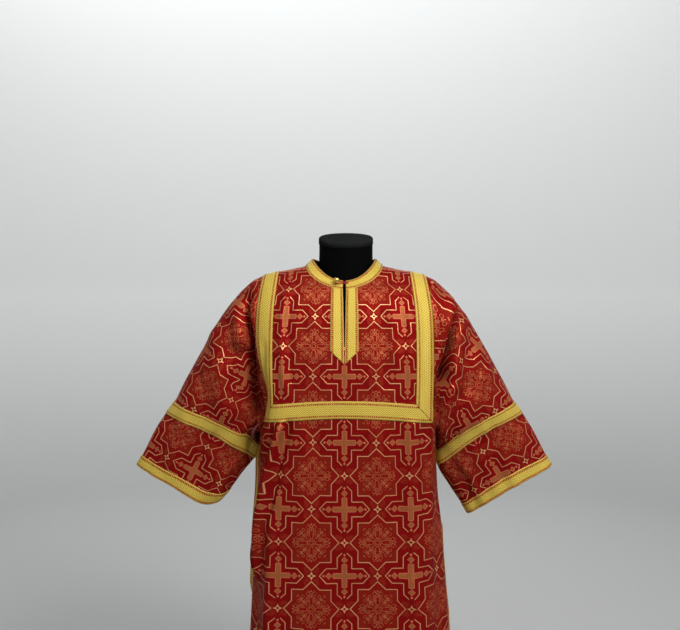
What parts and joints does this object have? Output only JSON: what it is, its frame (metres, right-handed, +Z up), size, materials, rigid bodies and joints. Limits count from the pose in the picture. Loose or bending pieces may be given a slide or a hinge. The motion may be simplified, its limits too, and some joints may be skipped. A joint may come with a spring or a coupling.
{
  "type": "sticharion on a dress form",
  "caption": "Wide-sleeved brocade liturgical robe with a square galloon yoke and a buttoned neck slit, worn by a limbless dress form on a round base.",
  "frame": {"origin": "centre of the stand's underside, on the floor", "axes": "+Z up, -Y towards the front of the robe, +X towards the wearer's left"},
  "size_m": [0.9942, 0.3792, 1.5403],
  "materials": {
    "brocade": "satin",
    "galloon": "satin",
    "cord": "satin",
    "gilt": "polished",
    "form_cover": "matte",
    "cap": "matte",
    "stand": "satin"
  },
  "bodies": {
    "root": {"front": "brocade", "back": "brocade", "sleeve_right": "brocade", "sleeve_left": "brocade", "neck_band_back": "galloon", "neck_band_front_right": "galloon", "neck_band_front_left": "galloon", "placket_band_right": "galloon", "placket_band_left": "galloon", "yoke_band_right": "galloon", "yoke_band_left": "galloon", "yoke_band_front": "galloon", "yoke_band_back": "galloon", "sleeve_band_right": "galloon", "sleeve_band_left": "galloon", "cuff_band_right": "galloon", "cuff_band_left": "galloon", "side_band_right": "galloon", "side_band_left": "galloon", "hem_band_front": "galloon", "hem_band_back": "galloon", "button": "gilt", "button_loop": "cord", "form_torso": "form_cover", "form_neck_cap": "cap", "stand_pole": "stand", "stand_base": "stand"}
  },
  "joints": []
}
